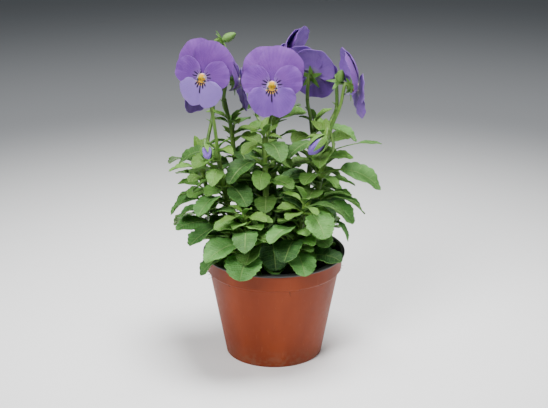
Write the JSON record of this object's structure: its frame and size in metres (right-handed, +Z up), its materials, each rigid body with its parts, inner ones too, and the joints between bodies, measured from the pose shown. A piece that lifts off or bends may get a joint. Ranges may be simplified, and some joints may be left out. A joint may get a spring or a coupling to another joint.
{
  "type": "potted horned violet",
  "caption": "Leafy horned violet in bloom in a tapered plastic nursery pot, with violet yellow-eyed flowers, buds and lobed green leaves.",
  "frame": {"origin": "centre of the flat disc under the pot's base", "axes": "+Z up through the pot, -Y towards the side from which the two largest flowers face the viewer"},
  "size_m": [0.139, 0.1256, 0.212],
  "materials": {
    "pot": "satin terracotta outside, black inside and on the lip",
    "soil": "dark crumbly peat",
    "shoot": "soft green leaf and stem",
    "corolla": "velvety violet petal",
    "eye": "matt yellow",
    "bud": "furled violet petals"
  },
  "bodies": {
    "root": {"pot": "pot", "soil": "soil", "shoot_1": "shoot", "shoot_2": "shoot", "shoot_3": "shoot", "shoot_4": "shoot", "shoot_5": "shoot", "shoot_6": "shoot", "shoot_7": "shoot", "shoot_8": "shoot", "shoot_9": "shoot", "corolla_1": "corolla", "corolla_2": "corolla", "corolla_3": "corolla", "corolla_4": "corolla", "corolla_5": "corolla", "corolla_6": "corolla", "corolla_7": "corolla", "eye_1": "eye", "eye_2": "eye", "eye_3": "eye", "eye_4": "eye", "eye_5": "eye", "eye_6": "eye", "eye_7": "eye", "bud_1": "bud", "bud_2": "bud", "bud_3": "bud"}
  },
  "joints": []
}
